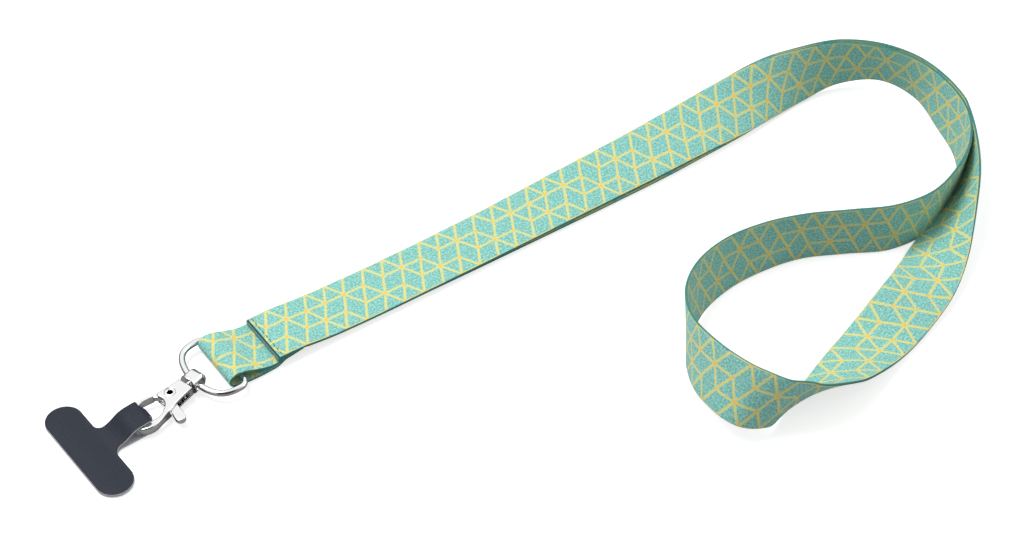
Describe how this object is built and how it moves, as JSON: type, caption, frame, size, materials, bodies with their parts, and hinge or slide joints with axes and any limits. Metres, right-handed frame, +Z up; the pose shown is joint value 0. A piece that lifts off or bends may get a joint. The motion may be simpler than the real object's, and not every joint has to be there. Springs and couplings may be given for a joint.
{
  "type": "phone lanyard",
  "caption": "Printed webbing neck lanyard with a sewn ring loop, a D-ring, a swivel trigger hook and a folded T-shaped phone tether tab.",
  "frame": {"origin": "centre of the bounding box's bottom face, on the surface the lanyard lies on", "axes": "+X along the strap's straight run from the tether tab towards the neck loop, +Z up from the surface"},
  "size_m": [0.3142, 0.1356, 0.0259],
  "materials": {
    "webbing": "teal woven polyester with a golden triangular line print",
    "thread": "sewing thread",
    "chrome": "bright plated zinc and steel",
    "spring_wire": "drawn spring wire",
    "tab_sheet": "black coated fabric sheet, light grey underside",
    "bond_film": "thin adhesive film"
  },
  "bodies": {
    "strap": {"webbing_upper_run": "webbing", "webbing_upper_curve": "webbing", "webbing_far_side": "webbing", "webbing_left_bend": "webbing", "webbing_near_side": "webbing", "webbing_lower_curve": "webbing", "webbing_lower_run": "webbing", "webbing_ring_loop": "webbing", "webbing_hem_flap": "webbing", "hem_stitching": "thread"},
    "ring": {"d_ring": "chrome"},
    "eye": {"swivel_eye": "chrome"},
    "hook": {"hook_body": "chrome", "gate_rivet": "chrome", "gate_spring": "spring_wire"},
    "gate": {"gate_lever": "chrome"},
    "tab": {"tether_tab": "tab_sheet", "tab_bond_film": "bond_film"}
  },
  "joints": [
    {"name": "ring_swing", "type": "hinge", "parent": "strap", "child": "ring", "pos_m": [-0.10088, 0.0543, 0.0033], "axis": [0.0698, -0.9976, 0], "range_deg": [-110, 110]},
    {"name": "eye_swing", "type": "hinge", "parent": "ring", "child": "eye", "pos_m": [-0.11258, 0.05248, 0.0035], "axis": [-0.2924, 0.9563, 0], "range_deg": [-90, 90]},
    {"name": "hook_swivel", "type": "hinge", "parent": "eye", "child": "hook", "pos_m": [-0.11258, 0.05248, 0.0035], "axis": [-0.9554, -0.2921, -0.0436], "continuous": true},
    {"name": "gate_pivot", "type": "hinge", "parent": "hook", "child": "gate", "pos_m": [-0.12153, 0.051, 0.00311], "axis": [-0.0417, -0.0128, 0.999], "range_deg": [0, 8], "stiffness_Nm_per_rad": 0.02, "springref_deg": -20.05},
    {"name": "tab_swing", "type": "hinge", "parent": "hook", "child": "tab", "pos_m": [-0.1321, 0.04798, 0.00263], "axis": [-0.0417, -0.0128, 0.999], "range_deg": [-14, 14]}
  ]
}
